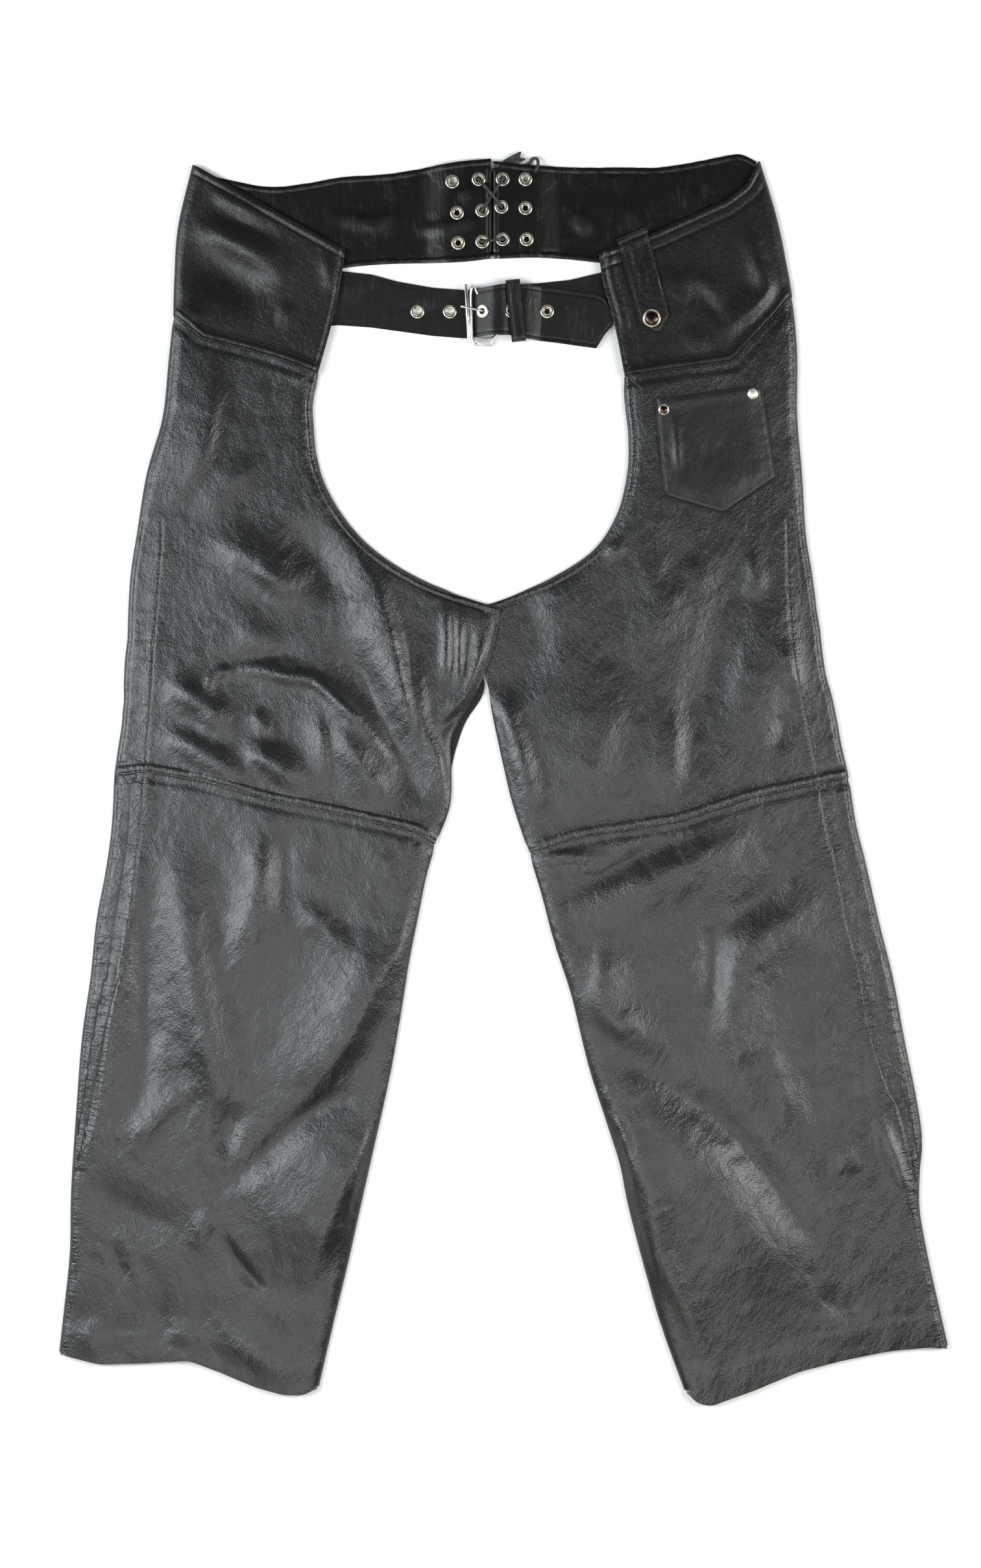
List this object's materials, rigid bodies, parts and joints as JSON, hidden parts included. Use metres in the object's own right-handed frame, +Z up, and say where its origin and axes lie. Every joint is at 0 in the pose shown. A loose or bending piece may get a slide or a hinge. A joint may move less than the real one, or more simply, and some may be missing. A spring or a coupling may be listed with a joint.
{
  "type": "leather chaps, laid flat",
  "caption": "Black leather chaps laid flat front up: two zip-side legs, hip yokes, laced back waistband, buckled front belt and a small coin pocket.",
  "frame": {"origin": "on the floor under the centre of the garment's box", "axes": "+X to the viewer's right across the garment, +Y up the garment to the waistband, +Z up from the floor, out of the garment's front"},
  "size_m": [0.7402, 1.0431, 0.0124],
  "materials": {
    "leather": "satin grained",
    "smooth_leather": "smooth satin",
    "belt_leather": "satin grained",
    "lace": "matt",
    "buckle_metal": "polished",
    "snap_metal": "polished",
    "eyelet_metal": "worn nickel plate"
  },
  "bodies": {
    "root": {"yoke_front_left": "leather", "yoke_front_right": "leather", "yoke_back_left": "leather", "yoke_back_right": "leather", "thigh_front_left": "leather", "thigh_front_right": "leather", "thigh_back_left": "leather", "thigh_back_right": "leather", "shin_front_left": "leather", "shin_front_right": "leather", "shin_back_left": "leather", "shin_back_right": "leather", "snap_tab": "leather", "coin_pocket": "smooth_leather", "belt_tongue": "belt_leather", "belt_short_strap": "belt_leather", "belt_keeper": "belt_leather", "lace": "lace", "buckle_frame": "buckle_metal", "buckle_roller": "buckle_metal", "buckle_prong": "buckle_metal", "snap_cap": "snap_metal", "pocket_rivet_1": "snap_metal", "pocket_rivet_2": "snap_metal", "eyelet_left_1": "eyelet_metal", "eyelet_left_2": "eyelet_metal", "eyelet_left_3": "eyelet_metal", "eyelet_left_4": "eyelet_metal", "eyelet_left_5": "eyelet_metal", "eyelet_left_6": "eyelet_metal", "eyelet_right_1": "eyelet_metal", "eyelet_right_2": "eyelet_metal", "eyelet_right_3": "eyelet_metal", "eyelet_right_4": "eyelet_metal", "eyelet_right_5": "eyelet_metal", "eyelet_right_6": "eyelet_metal", "belt_eyelet_1": "eyelet_metal", "belt_eyelet_2": "eyelet_metal", "belt_eyelet_3": "eyelet_metal"}
  },
  "joints": []
}
